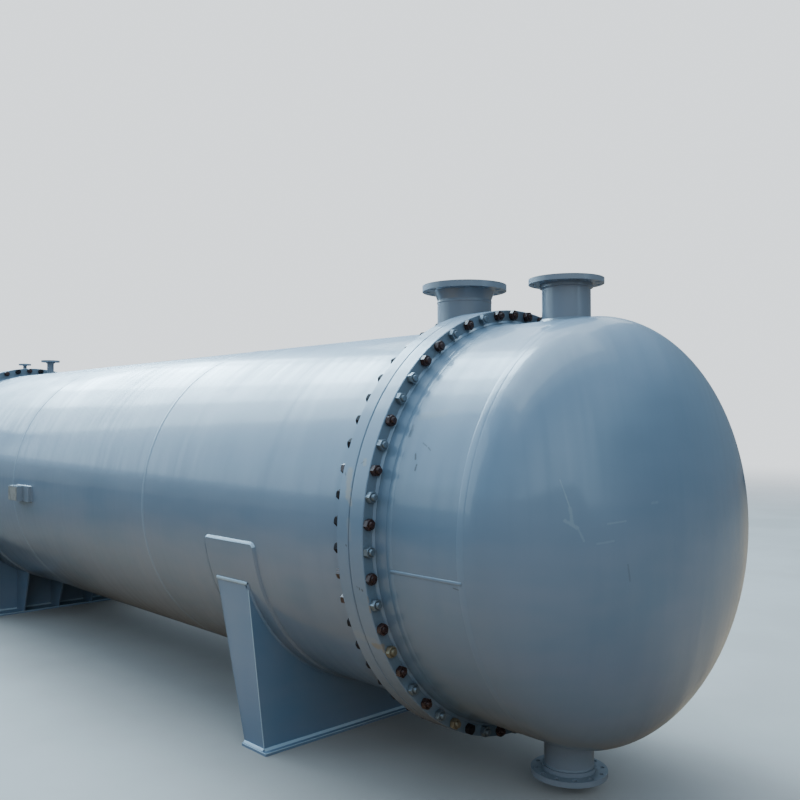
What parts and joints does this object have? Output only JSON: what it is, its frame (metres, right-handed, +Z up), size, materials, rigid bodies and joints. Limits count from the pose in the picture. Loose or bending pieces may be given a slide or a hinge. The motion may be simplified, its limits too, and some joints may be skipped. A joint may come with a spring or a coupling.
{
  "type": "shell and tube heat exchanger",
  "caption": "Large horizontal shell-and-tube heat exchanger with ellipsoidal channel heads, bolted girth flanges, nozzles and two welded saddles.",
  "frame": {"origin": "on the floor, under the middle of the vessel", "axes": "+X lengthwise towards the front channel with the inlet and outlet, +Z up, -Y the side with the nameplate"},
  "size_m": [8.066, 1.98, 2.318],
  "materials": {
    "vessel_paint": "semi-gloss blue-grey paint",
    "gasket": "dull dark grey graphite",
    "bare_steel": "satin"
  },
  "bodies": {
    "root": {"shell_course_front": "vessel_paint", "shell_course_middle": "vessel_paint", "shell_course_rear": "vessel_paint", "tubesheet_front": "vessel_paint", "tubesheet_rear": "vessel_paint", "gasket_front": "gasket", "gasket_rear": "gasket", "channel_flange_front": "vessel_paint", "channel_flange_rear": "vessel_paint", "channel_barrel_front": "vessel_paint", "channel_barrel_rear": "vessel_paint", "head_front": "vessel_paint", "head_rear": "vessel_paint", "shell_inlet_pipe": "vessel_paint", "shell_inlet_flange": "vessel_paint", "shell_outlet_pipe": "vessel_paint", "shell_outlet_flange": "vessel_paint", "channel_inlet_pipe": "vessel_paint", "channel_inlet_flange": "vessel_paint", "channel_outlet_pipe": "vessel_paint", "channel_outlet_flange": "vessel_paint", "shell_vent_pipe": "vessel_paint", "shell_vent_flange": "vessel_paint", "channel_vent_pipe": "vessel_paint", "channel_vent_flange": "vessel_paint", "channel_drain_pipe": "vessel_paint", "channel_drain_flange": "vessel_paint", "saddle_front_wrapper": "vessel_paint", "saddle_front_web": "vessel_paint", "saddle_front_end_rib_left": "vessel_paint", "saddle_front_end_rib_right": "vessel_paint", "saddle_front_inner_ribs": "vessel_paint", "saddle_front_base": "vessel_paint", "saddle_rear_wrapper": "vessel_paint", "saddle_rear_web": "vessel_paint", "saddle_rear_end_rib_left": "vessel_paint", "saddle_rear_end_rib_right": "vessel_paint", "saddle_rear_inner_ribs": "vessel_paint", "saddle_rear_base": "vessel_paint", "nameplate_base": "vessel_paint", "nameplate_holder": "vessel_paint", "nameplate": "bare_steel"}
  },
  "joints": []
}
